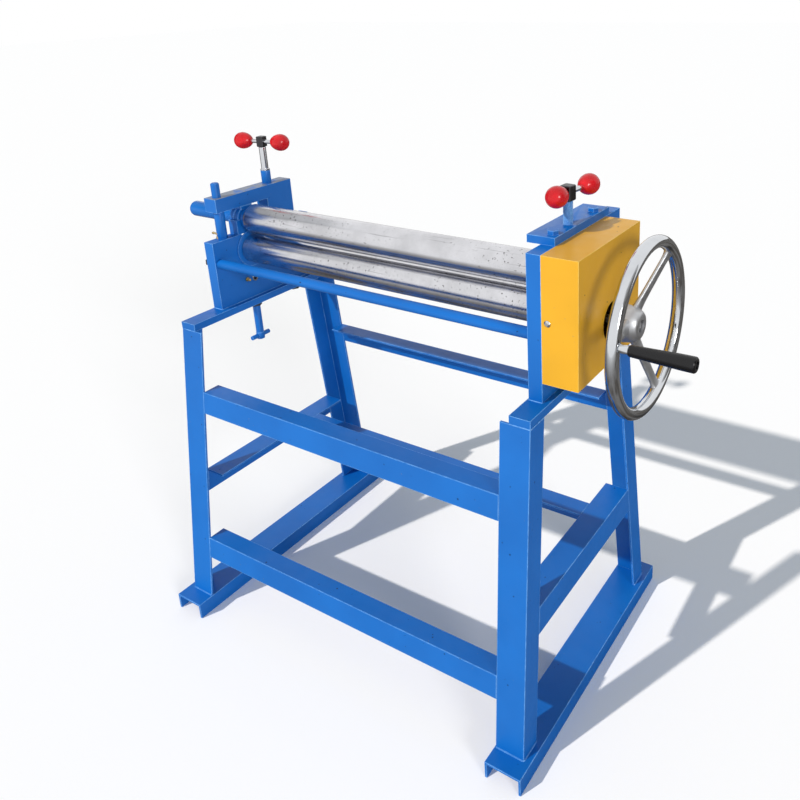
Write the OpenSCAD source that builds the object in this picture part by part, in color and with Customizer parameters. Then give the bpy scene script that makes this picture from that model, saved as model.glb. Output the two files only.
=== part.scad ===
// Hand-cranked slip roll on a welded angle stand. Millimetres.
// X runs along the rolls with the crank at +X, Y runs to the rear, Z is up.
// The floor is z = 0 and the stand is centred on Y = 0.

/* [View] */
// Sub-part to build, or all of them

/* [Stand] */
// How far a foot reaches out past its legs
foot_ledge = 17.2; // [8:0.1:20]
// Length of a foot channel
foot_length = 790; // [750:1:900]
// Width of a foot channel
foot_width = 95; // [85:1:120]
// Height of a foot channel
foot_height = 47; // [35:1:70]
// Wall of the channels and angles
wall = 6; // [4:0.5:8]
// Height of the top of the end bars
table_height = 871; // [780:1:980]
// Distance between the outer faces of the end bars
stand_width = 1092; // [900:1:1300]
// Depth of the stand at the top
stand_depth = 510; // [480:1:560]
// Broad flange of a leg
leg_broad = 75; // [60:1:80]
// Side flange of a leg
leg_side = 60; // [40:1:66]
// Outward slope of the legs towards front and rear
leg_slope_share = 0.118; // [0.09:0.001:0.14]
// Outward slope of the legs towards the ends
leg_splay_share = 0.024; // [0:0.001:0.05]
// Width of an end bar
bar_width = 52; // [48:1:60]
// Thickness of an end bar
bar_thick = 20; // [16:1:24]

/* [Rails] */
// Height of a front or rear rail
rail_height = 62; // [45:1:80]
// Depth of a front or rear rail
rail_depth = 50; // [35:1:54]
// Drop from the end bars to the top of the upper front rail
upper_rail_drop = 189; // [131:1:271]
// Top of the lower front rail
lower_rail_top = 236; // [180:1:300]
// Drop from the end bars to the top of the upper rear rail
rear_rail_drop = 201; // [131:1:271]
// Top of the side rails and of the cross rail
side_rail_top = 398; // [330:1:480]
// Height of a side rail
side_rail_height = 70; // [50:1:80]
// Width of a side rail's top flange
side_rail_width = 67; // [50:1:75]
// Width of the cross rail's top flange
cross_rail_width = 56; // [45:1:70]
// Rear edge of the cross rail
cross_rail_rear = 144; // [100:1:170]

/* [End plates] */
// Thickness of both end plates
plate_thick = 34; // [30:1:38]
// How far the left end plate stands in from the outer edge of its bar
left_plate_ledge = 1; // [0:0.5:4]
// How far the right end plate stands in from the outer edge of its bar
right_plate_ledge = 14; // [10:0.5:14]
// Front edge of the left end plate
left_plate_front = -146; // [-152:1:-144]
// Front edge of the right end plate
right_plate_front = -178; // [-190:1:-165]
// Rear edge of both end plates
plate_rear = 213; // [208:1:225]
// Height of the left end plate
left_plate_height = 194; // [191:1:199]
// Room for the roll to rise under the cap plate
cap_room = 52.2; // [38:0.1:78]

/* [Rolls] */
// Diameter of the three rolls
roll_d = 82; // [78:1:84]
// Gap between the left end plate and the rolls
roll_gap_left = 5; // [5:0.5:7]
// Gap between the right end plate and the rolls
roll_gap_right = 4; // [4:0.5:8]
// Axis of the front rolls, front to back
roll_y = -14; // [-16:0.5:-12]
// Height of the lower roll's axis over the end bars
axis_height = 146; // [145:0.5:147]
// Open gap between the front rolls
nip = 8; // [7:0.5:9]
// Journal diameter of the front rolls
journal_d = 50; // [44:1:50]
// Rear roll axis, front to back
rear_roll_y = 140; // [138:0.5:143]
// Height of the rear roll's axis over the end bars with the roll raised
rear_axis_height = 159; // [155:0.5:159]
// Journal diameter of the rear roll
rear_journal_d = 40; // [30:1:40]
// How far the rear roll can be lowered
rear_travel = 24; // [10:1:30]
// Diameter of the blue tail of the top roll
tail_d = 45; // [38:1:46]
// Length of the tail out from the left end plate
tail_length = 195; // [155:1:255]
// Length of the turned collar at the top roll's left end
collar_length = 18; // [10:1:24]
// Diameter of that collar
collar_d = 66; // [56:1:74]

/* [Gears] */
// Teeth of each roll gear
gear_teeth = 14; // [14:1:14]
// Tooth module
gear_module = 6; // [5.8:0.1:6.1]
// Face width of a gear
gear_width = 32; // [24:1:36]
// Shaft diameter in the gears
gear_seat_d = 45; // [38:1:46]

/* [Gear cover] */
// Width of the cover, out from the plate
cover_out = 85; // [80:1:88]
// Rear face of the cover
cover_rear = 132; // [120:1:142]
// Height of the cover's underside over the end bars
cover_rise = 47; // [29:1:59]
// Sheet thickness of the cover
cover_sheet = 2; // [1:0.25:3]
// Diameter of the shaft opening
cover_hole_d = 90; // [70:1:94]

/* [Handwheel] */
// Outer diameter of the rim
wheel_d = 400; // [360:1:440]
// Rim section, radial
rim_radial = 28; // [22:1:32]
// Rim section, along the axis
rim_axial = 30; // [24:1:34]
// Gap between the gear cover and the hub
hub_gap = 5; // [4:1:11]
// Length of the hub
hub_length = 64; // [58:1:70]
// From the back of the hub to the middle of the rim
rim_rise = 78; // [68:1:90]
// Diameter of the hub at its back
hub_back_d = 84; // [70:1:90]
// Diameter of the hub at its front
hub_front_d = 66; // [56:1:70]
// Wheel seat diameter of the shaft
wheel_seat_d = 30; // [26:1:34]
// Direction of the grip's spoke
spoke_angle = 170; // [150:1:190]
// Spoke width at the hub
spoke_wide = 30; // [22:1:34]
// Spoke width at the rim
spoke_narrow = 22; // [16:1:26]
// Spoke thickness
spoke_thick = 13; // [9:0.5:16]
// Length of the black grip
grip_length = 134; // [110:1:160]
// Diameter of the grip at its free end
grip_end_d = 32; // [28:0.5:36]
// Diameter of the grip at the wheel
grip_base_d = 24; // [20:0.5:28]
// Bare spindle between the rim and the grip
grip_standoff = 19; // [12:1:26]

/* [Release arm] */
// Width of the arm
arm_width = 46; // [42:1:46]
// Height of the arm over the journal
arm_height = 39; // [33:1:47]
// Room for the pressure pad between the journal and the arm
arm_gap = 11; // [10:1:16]
// Front end of the arm
arm_front = -116; // [-124:1:-112]
// Rear end of the arm
arm_rear = 160; // [145:1:168]
// Front face of the arm's deep rear foot
arm_foot_front = 64; // [62:1:68]
// Post centre, front to back
post_y = -94; // [-97:0.5:-92]
// Post diameter
post_d = 23; // [18:1:24]
// Height of the post over the arm
post_rise = 41; // [18:1:58]
// Clamp screw centre, front to back
clamp_y = 90; // [86:1:91]
// Clamp screw stem diameter
clamp_d = 20; // [18:0.5:21]
// Length of the blue sleeve on the arm
sleeve_length = 38; // [24:1:52]
// Diameter of that sleeve
sleeve_d = 27; // [24:1:32]

/* [Screws and handles] */
// Diameter of the adjusting screws
screw_d = 22; // [18:1:23]
// Height of the left handle bar over the arm
left_bar_rise = 122; // [102:1:148]
// Height of the right handle bar over the cap plate
right_bar_rise = 70; // [54:1:94]
// Turn of the left handle bar from the roll axis
left_bar_turn = 9; // [0:1:180]
// Turn of the right handle bar from the roll axis
right_bar_turn = 85; // [0:1:180]
// Distance between the knob centres
knob_pitch = 125; // [116:1:150]
// How far the right bar is slid through its hub
right_bar_slide = 22; // [0:1:22]
// Knob length
knob_length = 54; // [46:1:58]
// Knob diameter
knob_d = 46; // [40:1:52]
// Handle bar diameter
bar_d = 12; // [10:0.5:14]
// Square hub size
hub_side = 26; // [22:1:30]
// Square hub height
hub_height = 34; // [28:1:40]
// Drop from the end bars to the cross bar of the under screw
under_bar_drop = 133; // [111:1:156]
// Length of the cross bar of the under screw
under_bar_length = 66; // [50:1:90]

/* [Hidden] */
$fn = 64;
cut = 1;
slide_gap = 0.3;
seat_gap = 0.2;
run_gap = 0.08;
thread_gap = 0.06;

// Stand
leg_top = table_height - bar_thick;
bar_in = stand_width / 2 - bar_width;
leg_inner = stand_width / 2 - leg_broad;
side_inner = stand_width / 2 - side_rail_width;
tilt_y = leg_slope_share;
tilt_x = leg_splay_share;
foot_x = stand_width / 2 + tilt_x * (leg_top - foot_height) + foot_ledge - foot_width / 2;
upper_rail_top = table_height - upper_rail_drop;
rear_rail_top = table_height - rear_rail_drop;

// End plates
left_out = left_plate_ledge - stand_width / 2;
left_in = left_out + plate_thick;
left_plate_x = left_out + plate_thick / 2;
right_out = stand_width / 2 - right_plate_ledge;
right_in = right_out - plate_thick;
right_plate_x = right_out - plate_thick / 2;
left_plate_top = table_height + left_plate_height;

// Front rolls
lower_z = table_height + axis_height;
top_z = lower_z + roll_d + nip;
roll_left = left_in + roll_gap_left;
roll_right = right_in - roll_gap_right;
tail_left = left_out - tail_length;
roll_edge = 2;
roll_round = 5;
collar_left = roll_left;
top_roll_left = roll_left + collar_length;
bush_wall = 6;
bush_r = journal_d / 2 + bush_wall;

// Bearing blocks
block_wall = 10;
block_half = journal_d / 2 + block_wall;
low_block_wall = 5;
low_block_half = journal_d / 2 + low_block_wall;
block_skin = 4;
foot_pad = 8;
foot_pad_d = 24;
foot_neck_d = 12;
lip = 7.5;
pad_room = foot_pad + slide_gap;
flange = 3;
flange_edge = 7;
ring_d = 106;
ring_thick = 3.4;
adjust_room = 7;
block_top = top_z + journal_d / 2 + block_skin + pad_room + lip;
right_plate_top = block_top + cap_room;
block_low = top_z - block_half;
low_block_top = lower_z + journal_d / 2 + 2 * block_skin;
low_block_low = lower_z - journal_d / 2 - block_skin - pad_room - lip;
saddle_wall = 17;
saddle_half = journal_d / 2 + saddle_wall;
top_screw_x = right_plate_x - low_block_wall;

// Rear roll
rear_roll_z = table_height + rear_axis_height;
rear_wall_y = 6;
rear_wall_z = 4;
rear_block_half_y = rear_journal_d / 2 + rear_wall_y;
rear_block_half_z = rear_journal_d / 2 + rear_wall_z;
rear_slot_room = 1;
rear_screw_d = 20;
rear_head = 13;
rear_head_d = 34;
rear_head_gap = 2;

// Cap plate
cap_thick = 18;
cap_overhang = 33;
cap_in = right_in - cap_overhang;
cap_front = -116;
cap_rear = 151;
cap_bolt_d = 14;
cap_bolt_deep = 30;
cap_head_d = 27;
cap_head = 10;
cap_bolts_y = [-92, 101];
cap_top = right_plate_top + cap_thick;

// Tie rod
tie_d = 27;
tie_y = -129;
tie_rise = 132;
tie_z = table_height + tie_rise;
tie_end_d = 16;
tie_nut_d = 27;
tie_nut = 13;

// Gears
gear_gap = 2;
gear_x = right_out + gear_gap;
pitch_r = gear_module * gear_teeth / 2;
tip_r = pitch_r + 1.25 * gear_module;
root_r = pitch_r - 1.5 * gear_module;
pressure = 20;
base_r = pitch_r * cos(pressure);
play_share = 0.06;
flank_steps = 6;

// Cover
cover_low = table_height + cover_rise;
lug_thick = 6;
lug_out = 28;
lug_high = 30;
lug_rise = 41;
lug_z = lower_z + lug_rise;
lug_screw_out = 14;
cover_screw_d = 8;
cover_head_d = 15;
cover_head = 4;

// Handwheel
hub_back = right_out + cover_out + hub_gap;
hub_front = hub_back + hub_length;
rim_x = hub_back + rim_rise;
rim_r = (wheel_d - rim_radial) / 2;
rim_points = 24;
spoke_hub_r = 24;
spoke_disc = 1;
hub_recess = 14;
spoke_setback = 26;
spoke_hub_x = hub_front - spoke_setback;
shaft_end = hub_front - hub_recess;
shaft_step_gap = 8;
recess_d = 29;
end_head_d = 24;
end_head = 8;
end_slot = 4;
end_shank_d = 12;
end_shank = 30;
spindle_d = 10;
spindle_boss_d = 18;
spindle_head_d = 16;
spindle_head = 4;
grip_round = 3;
grip_recess = 8;
grip_y = roll_y + rim_r * cos(spoke_angle);
grip_z = lower_z + rim_r * sin(spoke_angle);
grip_start = rim_x + rim_axial / 2 + grip_standoff;
grip_end = grip_start + grip_length;

// Release arm
arm_under = top_z + journal_d / 2 + arm_gap;
arm_top = arm_under + arm_height;
post_top = arm_top + post_rise;
sleeve_top = arm_top + sleeve_length;
left_bar_z = arm_top + left_bar_rise;
arm_left = left_in - arm_width;
arm_x = left_in - arm_width / 2;
post_shift = 3;
post_x = left_plate_x - post_shift;
post_collar_d = 28;
post_round = 3;
post_seat = 30;
pad_half = 20;
nut_half = 14;
nut_high = 10;
nut_drop = 2.5;
ledge = 10;
slot_front_room = 5;
slot_rear_room = 1;
neck_front_room = 3.5;
neck_rear_room = 0.8;
clamp_step = 1;
clamp_end_d = clamp_d - 2 * clamp_step;
clamp_collar_d = 26;
clamp_collar = 5;
nut_top = left_plate_top - ledge - slide_gap;

// Screws
right_bar_z = cap_top + right_bar_rise;
under_bar_z = table_height - under_bar_drop;
neck_gap = 8;
lock_nut_d = 34;
lock_nut = 16;
under_bar_d = 13;
under_head_d = 24;
under_head = 20;
under_screw_low = under_bar_z - under_head / 2;
plate_bolt_d = 12;
plate_bolt_deep = 30;
plate_bolt_head = 8;
plate_bolt_head_d = 22;
plate_bolts_y = [-106, 194];
knob_steps = 10;
grease_d = 14;
grease_out = 16;
grease_y = -48;
grease_rise = 59;
grease_z = table_height + grease_rise;

// The part stands with the middle of its overall length on x = 0.
middle_x = (grip_end + tail_left) / 2;

BLUE = [0.09, 0.36, 0.78];
YELLOW = [0.95, 0.66, 0.08];
STEEL = [0.72, 0.73, 0.75];
CHROME = [0.85, 0.87, 0.9];
DARK = [0.16, 0.16, 0.17];
RED = [0.85, 0.06, 0.08];
BLACK = [0.05, 0.05, 0.06];
BRONZE = [0.72, 0.52, 0.25];

// Shared shapes
module placed(tone) {
    color(tone) translate([-middle_x, 0, 0]) children();
}

module both_ends() {
    children();
    mirror([1, 0, 0]) children();
}

// A box from one corner to the opposite one.
module block(low, high) {
    translate(low) cube(high - low);
}

// A solid turned about X from points of radius and place.
module turned(points) {
    rotate([0, 90, 0]) rotate_extrude() polygon(points);
}

// A solid turned about Z from points of radius and height.
module spun(points) {
    rotate_extrude() polygon(points);
}

module rod_x(x0, x1, d) {
    translate([x0, 0, 0]) rotate([0, 90, 0]) cylinder(h = x1 - x0, d = d);
}

module rod_z(z0, z1, d) {
    translate([0, 0, z0]) cylinder(h = z1 - z0, d = d);
}

module hexagon_z(z0, z1, d) {
    translate([0, 0, z0]) cylinder(h = z1 - z0, d = d, $fn = 6);
}

function arc(c, r, a0, a1, n) =
    [for (k = [0:n]) [c[0] + r * cos(a0 + (a1 - a0) * k / n), c[1] + r * sin(a0 + (a1 - a0) * k / n)]];

// Stand shapes. Half of the clear width at a height, for a given inner edge.
function clear_x(edge, z) = edge + tilt_x * (leg_top - z);
function clear_y(edge, z) = edge + tilt_y * (leg_top - z);

function long_trapezoid(edge, z0, z1) = [[-clear_x(edge, z0), z0], [clear_x(edge, z0), z0],
    [clear_x(edge, z1), z1], [-clear_x(edge, z1), z1]];

function side_trapezoid(edge, z0, z1) = [[-clear_y(edge, z0), z0], [clear_y(edge, z0), z0],
    [clear_y(edge, z1), z1], [-clear_y(edge, z1), z1]];

module lean_front() {
    multmatrix([[1, 0, 0, 0], [0, 1, tilt_y, -tilt_y * leg_top], [0, 0, 1, 0], [0, 0, 0, 1]])
        children();
}

module lean_right() {
    multmatrix([[1, 0, -tilt_x, tilt_x * leg_top], [0, 1, 0, 0], [0, 0, 1, 0], [0, 0, 0, 1]])
        children();
}

// One foot channel, open below.
module foot() {
    translate([foot_x, 0, 0]) difference() {
        block([-foot_width / 2, -foot_length / 2, 0], [foot_width / 2, foot_length / 2, foot_height]);
        block([-foot_width / 2 + wall, -foot_length / 2 - cut, -cut],
            [foot_width / 2 - wall, foot_length / 2 + cut, foot_height - wall]);
    }
}

// The front right leg, an angle that leans forwards and outwards down to its foot.
module leg() {
    lean_right() lean_front() translate([0, 0, foot_height])
        linear_extrude(leg_top - foot_height)
            polygon([[stand_width / 2, -stand_depth / 2],
                [stand_width / 2, -stand_depth / 2 + leg_side],
                [stand_width / 2 - wall, -stand_depth / 2 + leg_side],
                [stand_width / 2 - wall, -stand_depth / 2 + wall],
                [stand_width / 2 - leg_broad, -stand_depth / 2 + wall],
                [stand_width / 2 - leg_broad, -stand_depth / 2]]);
}

// A rail between two legs, with its upright flange in the plane of their fronts.
module long_rail(top) {
    lean_front() translate([0, -stand_depth / 2, 0]) {
        translate([0, wall, 0]) rotate([90, 0, 0]) linear_extrude(wall)
            polygon(long_trapezoid(leg_inner, top - rail_height, top));
        translate([0, rail_depth, 0]) rotate([90, 0, 0]) linear_extrude(rail_depth)
            polygon(long_trapezoid(leg_inner, top - wall, top));
    }
}

// The right side rail, from the front leg to the rear leg.
module side_rail() {
    lean_right() translate([stand_width / 2, 0, 0]) {
        translate([-wall, 0, 0]) rotate([90, 0, 90]) linear_extrude(wall)
            polygon(side_trapezoid(stand_depth / 2 - leg_side, side_rail_top - side_rail_height,
                side_rail_top));
        translate([-side_rail_width, 0, 0]) rotate([90, 0, 90]) linear_extrude(side_rail_width)
            polygon(side_trapezoid(stand_depth / 2 - leg_side, side_rail_top - wall,
                side_rail_top));
    }
}

module end_bar() {
    block([bar_in, -stand_depth / 2, leg_top], [stand_width / 2, stand_depth / 2, table_height]);
}

module left_foot() {
    placed(BLUE) mirror([1, 0, 0]) foot();
}

module right_foot() {
    placed(BLUE) foot();
}

module front_left_leg() {
    placed(BLUE) mirror([1, 0, 0]) leg();
}

module front_right_leg() {
    placed(BLUE) leg();
}

module rear_left_leg() {
    placed(BLUE) mirror([1, 0, 0]) mirror([0, 1, 0]) leg();
}

module rear_right_leg() {
    placed(BLUE) mirror([0, 1, 0]) leg();
}

module left_end_bar() {
    placed(BLUE) difference() {
        mirror([1, 0, 0]) end_bar();
        translate([left_plate_x, roll_y, 0]) rod_z(leg_top - cut, table_height + cut,
            screw_d + 2 * thread_gap);
        translate([left_plate_x, rear_roll_y, 0]) rod_z(leg_top - cut, table_height + cut,
            rear_screw_d + 2 * thread_gap);
        for (y = plate_bolts_y) translate([left_plate_x, y, 0])
            rod_z(leg_top - cut, table_height + cut, plate_bolt_d + 2 * thread_gap);
    }
}

module right_end_bar() {
    placed(BLUE) difference() {
        end_bar();
        translate([right_plate_x, rear_roll_y, 0]) rod_z(leg_top - cut, table_height + cut,
            rear_screw_d + 2 * thread_gap);
    }
}

module left_side_rail() {
    placed(BLUE) mirror([1, 0, 0]) side_rail();
}

module right_side_rail() {
    placed(BLUE) side_rail();
}

module upper_front_rail() {
    placed(BLUE) long_rail(upper_rail_top);
}

module lower_front_rail() {
    placed(BLUE) long_rail(lower_rail_top);
}

module upper_rear_rail() {
    placed(BLUE) mirror([0, 1, 0]) long_rail(rear_rail_top);
}

// The cross rail joins the inner edges of the two side rails.
module cross_rail() {
    placed(BLUE) translate([0, cross_rail_rear, 0]) {
        rotate([90, 0, 0]) linear_extrude(wall)
            polygon(long_trapezoid(side_inner, side_rail_top - rail_height, side_rail_top));
        rotate([90, 0, 0]) linear_extrude(cross_rail_width)
            polygon(long_trapezoid(side_inner, side_rail_top - wall, side_rail_top));
    }
}

// Slot for the rear roll's block, with the screw's way up to it.
module rear_slot(x) {
    block([x - plate_thick / 2 - cut, rear_roll_y - rear_block_half_y - slide_gap,
        rear_roll_z - rear_block_half_z - rear_travel - rear_slot_room],
        [x + plate_thick / 2 + cut, rear_roll_y + rear_block_half_y + slide_gap,
        rear_roll_z + rear_block_half_z + rear_slot_room]);
    translate([x, rear_roll_y, 0]) rod_z(table_height - cut, rear_roll_z, rear_screw_d + 2 * slide_gap);
}

module left_end_plate() {
    placed(BLUE) difference() {
        block([left_out, left_plate_front, table_height], [left_in, plate_rear, left_plate_top]);
        block([left_out - cut, roll_y - low_block_half - slide_gap, low_block_low - adjust_room],
            [left_in + cut, roll_y + low_block_half + slide_gap, left_plate_top + cut]);
        translate([left_plate_x, roll_y, 0]) rod_z(table_height - cut, low_block_low,
            screw_d + 2 * slide_gap);
        rear_slot(left_plate_x);
        block([left_out - cut, clamp_y - nut_half - slot_front_room,
            nut_top - nut_high - nut_drop - slot_rear_room],
            [left_in + cut, clamp_y + nut_half + slot_rear_room, left_plate_top - ledge]);
        block([left_out - cut, clamp_y - clamp_end_d / 2 - neck_front_room,
            left_plate_top - ledge - cut],
            [left_in + cut, clamp_y + clamp_end_d / 2 + neck_rear_room, left_plate_top + cut]);
        translate([post_x, post_y, 0]) rod_z(left_plate_top - post_seat, left_plate_top + cut,
            post_d + 2 * thread_gap);
        translate([0, tie_y, tie_z]) rod_x(left_out - cut, left_in + cut,
            tie_end_d + 2 * thread_gap);
        for (y = plate_bolts_y) translate([left_plate_x, y, 0])
            rod_z(table_height - cut, table_height + plate_bolt_deep,
                plate_bolt_d + 2 * thread_gap);
        translate([0, grease_y, grease_z]) rod_x(left_in - grease_out, left_in + cut,
            grease_d / 2 + 2 * thread_gap);
    }
}

module right_end_plate() {
    placed(BLUE) difference() {
        block([right_in, right_plate_front, table_height], [right_out, plate_rear, right_plate_top]);
        translate([0, roll_y, lower_z]) rod_x(right_in - cut, right_out + cut,
            2 * bush_r + 2 * thread_gap);
        block([right_in - cut, roll_y - block_half - slide_gap, block_low - adjust_room],
            [right_out + cut, roll_y + block_half + slide_gap, right_plate_top + cut]);
        rear_slot(right_plate_x);
        translate([0, tie_y, tie_z]) rod_x(right_in - cut, right_out + cut,
            tie_end_d + 2 * thread_gap);
        for (y = cap_bolts_y) translate([right_plate_x, y, 0])
            rod_z(right_plate_top - cap_bolt_deep - cut, right_plate_top + cut,
                cap_bolt_d + 2 * thread_gap);
    }
}

module cap_plate() {
    placed(BLUE) difference() {
        block([cap_in, cap_front, right_plate_top], [right_out, cap_rear, cap_top]);
        translate([top_screw_x, roll_y, 0]) rod_z(right_plate_top - cut, cap_top + cut,
            screw_d + 2 * thread_gap);
        for (y = cap_bolts_y) translate([right_plate_x, y, 0])
            rod_z(right_plate_top - cut, cap_top + cut, cap_bolt_d + 2 * thread_gap);
    }
}

module cap_bolts() {
    placed(BLUE) for (y = cap_bolts_y) translate([right_plate_x, y, 0]) {
        hexagon_z(cap_top, cap_top + cap_head, cap_head_d);
        rod_z(right_plate_top - cap_bolt_deep, cap_top + cap_head / 2, cap_bolt_d);
    }
}

module tie_rod() {
    placed(BLUE) translate([0, tie_y, tie_z]) {
        rod_x(left_in, right_in, tie_d);
        rod_x(left_out - tie_nut, right_out + tie_nut, tie_end_d);
    }
}

module tie_rod_nuts() {
    placed(DARK) translate([0, tie_y, tie_z])
        for (x = [left_out - tie_nut, right_out]) translate([x, 0, 0]) difference() {
            rotate([0, 90, 0]) cylinder(h = tie_nut, d = tie_nut_d, $fn = 6);
            rod_x(-cut, tie_nut + cut, tie_end_d + 2 * thread_gap);
        }
}

// The post the arm turns about; its shoulder carries the arm.
module arm_post() {
    placed(BLUE) translate([post_x, post_y, 0]) spun([[0, left_plate_top - post_seat],
        [post_d / 2, left_plate_top - post_seat], [post_d / 2, left_plate_top],
        [post_collar_d / 2, left_plate_top], [post_collar_d / 2, arm_under - seat_gap],
        [post_d / 2, arm_under - seat_gap], [post_d / 2, post_top - post_round],
        [post_d / 2 - post_round, post_top], [0, post_top]]);
}

// Lower half bearing of the top roll, on the left end plate.
module saddle_bearing() {
    placed(BLUE) difference() {
        block([left_out, roll_y - saddle_half, left_plate_top], [left_in, roll_y + saddle_half, top_z]);
        translate([0, roll_y, top_z]) rod_x(left_out - cut, left_in + cut, journal_d + 2 * run_gap);
    }
}

module lower_bush() {
    placed(BRONZE) translate([0, roll_y, lower_z]) difference() {
        rod_x(right_in, right_out, 2 * bush_r);
        rod_x(right_in - cut, right_out + cut, journal_d + 2 * run_gap);
    }
}

// Folded sheet box over the gears, open towards the plate.
module gear_cover() {
    placed(YELLOW) difference() {
        block([right_out, right_plate_front, cover_low],
            [right_out + cover_out, cover_rear, right_plate_top]);
        block([right_out - cut, right_plate_front + cover_sheet, cover_low + cover_sheet],
            [right_out + cover_out - cover_sheet, cover_rear - cover_sheet,
            right_plate_top - cover_sheet]);
        translate([0, roll_y, lower_z]) rod_x(right_out + lug_out, right_out + cover_out + cut,
            cover_hole_d);
        translate([right_out + lug_screw_out, 0, lug_z]) rotate([90, 0, 0])
            cylinder(h = 2 * (cover_rear - right_plate_front), d = cover_screw_d + 2 * thread_gap,
                center = true);
    }
}

module lug(y) {
    difference() {
        block([right_out, y, lug_z - lug_high / 2], [right_out + lug_out, y + lug_thick,
            lug_z + lug_high / 2]);
        translate([right_out + lug_screw_out, y + lug_thick / 2, lug_z]) rotate([90, 0, 0])
            cylinder(h = lug_thick + 2 * cut, d = cover_screw_d + 2 * thread_gap, center = true);
    }
}

module cover_lugs() {
    placed(DARK) {
        lug(right_plate_front + cover_sheet);
        lug(cover_rear - cover_sheet - lug_thick);
    }
}

module cover_screw() {
    rotate([90, 0, 0]) spun([[0, -cover_sheet - lug_thick], [cover_screw_d / 2,
        -cover_sheet - lug_thick], [cover_screw_d / 2, 0], [cover_head_d / 2, 0],
        [cover_head_d / 2, cover_head / 4], [cover_head_d / 4, cover_head], [0, cover_head]]);
}

module cover_screws() {
    placed(CHROME) translate([right_out + lug_screw_out, 0, lug_z]) {
        translate([0, right_plate_front, 0]) cover_screw();
        translate([0, cover_rear, 0]) mirror([0, 1, 0]) cover_screw();
    }
}

module under_lock_nut() {
    placed(DARK) translate([left_plate_x, roll_y, 0]) difference() {
        hexagon_z(leg_top - lock_nut, leg_top, lock_nut_d);
        rod_z(leg_top - lock_nut - cut, leg_top + cut, screw_d + 2 * thread_gap);
    }
}

module plate_bolts() {
    placed(DARK) for (y = plate_bolts_y) translate([left_plate_x, y, 0]) {
        hexagon_z(leg_top - plate_bolt_head, leg_top, plate_bolt_head_d);
        rod_z(leg_top - plate_bolt_head / 2, table_height + plate_bolt_deep, plate_bolt_d);
    }
}

module grease_nipple() {
    placed(BRONZE) translate([0, grease_y, grease_z]) {
        rod_x(left_in - grease_out, left_in + grease_out / 2, grease_d / 2);
        rod_x(left_in, left_in + grease_out / 2, grease_d);
        rod_x(left_in + grease_out / 3, left_in + grease_out, grease_d * 2 / 3);
    }
}

// Slot in a block's face for the screw's turning foot, with a lip that holds it.
module foot_slot(x0, x1, low, sense) {
    translate([0, roll_y, low]) scale([1, 1, sense]) {
        block([x0 - cut, -foot_pad_d / 2 - slide_gap, 0],
            [x1 + cut, foot_pad_d / 2 + slide_gap, pad_room]);
        block([x0 - cut, -foot_neck_d / 2 - slide_gap, pad_room - cut],
            [x1 + cut, foot_neck_d / 2 + slide_gap, pad_room + lip + cut]);
    }
}

module lower_bearing_block() {
    placed(BRONZE) difference() {
        union() {
            block([left_out, roll_y - low_block_half, low_block_low],
                [left_in, roll_y + low_block_half, low_block_top]);
            translate([0, roll_y, lower_z]) rod_x(left_in + slide_gap, left_in + slide_gap + ring_thick,
                ring_d);
            translate([0, roll_y, lower_z]) rod_x(left_in - cut, left_in + slide_gap + cut,
                2 * low_block_half);
        }
        translate([0, roll_y, lower_z]) rod_x(left_out - cut, roll_left, journal_d + 2 * run_gap);
        foot_slot(left_out, left_in, low_block_low + lip + pad_room, -1);
    }
}

module top_bearing_block() {
    placed(BRONZE) difference() {
        union() {
            block([right_in, roll_y - block_half, block_low], [right_out, roll_y + block_half, block_top]);
            block([right_in - slide_gap - flange, roll_y - block_half - flange_edge, block_low],
                [right_in - slide_gap, roll_y + block_half + flange_edge,
                top_z + block_half]);
            block([right_in - slide_gap - cut, roll_y - block_half, block_low],
                [right_in + cut, roll_y + block_half, top_z + block_half]);
        }
        translate([0, roll_y, top_z]) rod_x(right_in - flange_edge, right_out + cut,
            journal_d + 2 * run_gap);
        foot_slot(right_in, right_out, block_top - lip - pad_room, 1);
    }
}

// Roll gear in the plane across X, with long teeth for a changing gap.
function inv_angle(a) = tan(a) * 180 / PI - a;
function tooth_half(r) = 90 / gear_teeth * (1 - play_share) + inv_angle(pressure)
    - inv_angle(acos(min(1, base_r / r)));
flank = [for (k = [0:flank_steps]) base_r + (tip_r - base_r) * k / flank_steps];
tooth_side = concat([[root_r, tooth_half(base_r)]], [for (r = flank) [r, tooth_half(r)]]);

module gear_outline() {
    polygon([for (i = [0:gear_teeth - 1]) for (j = [0:2 * len(tooth_side) - 1])
        let (n = len(tooth_side), up = j < n, p = up ? tooth_side[j] : tooth_side[2 * n - 1 - j],
            a = i * 360 / gear_teeth + (up ? -p[1] : p[1])) [p[0] * cos(a), p[0] * sin(a)]]);
}

module roll_gear(turn) {
    rotate([90, 0, 90]) linear_extrude(gear_width) difference() {
        rotate(turn) gear_outline();
        circle(d = gear_seat_d + 2 * thread_gap);
    }
}

module lower_gear() {
    placed(STEEL) translate([gear_x, roll_y, lower_z]) roll_gear(90);
}

module top_gear() {
    placed(STEEL) translate([gear_x, roll_y, top_z]) roll_gear(90 + 180 / gear_teeth);
}

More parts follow.
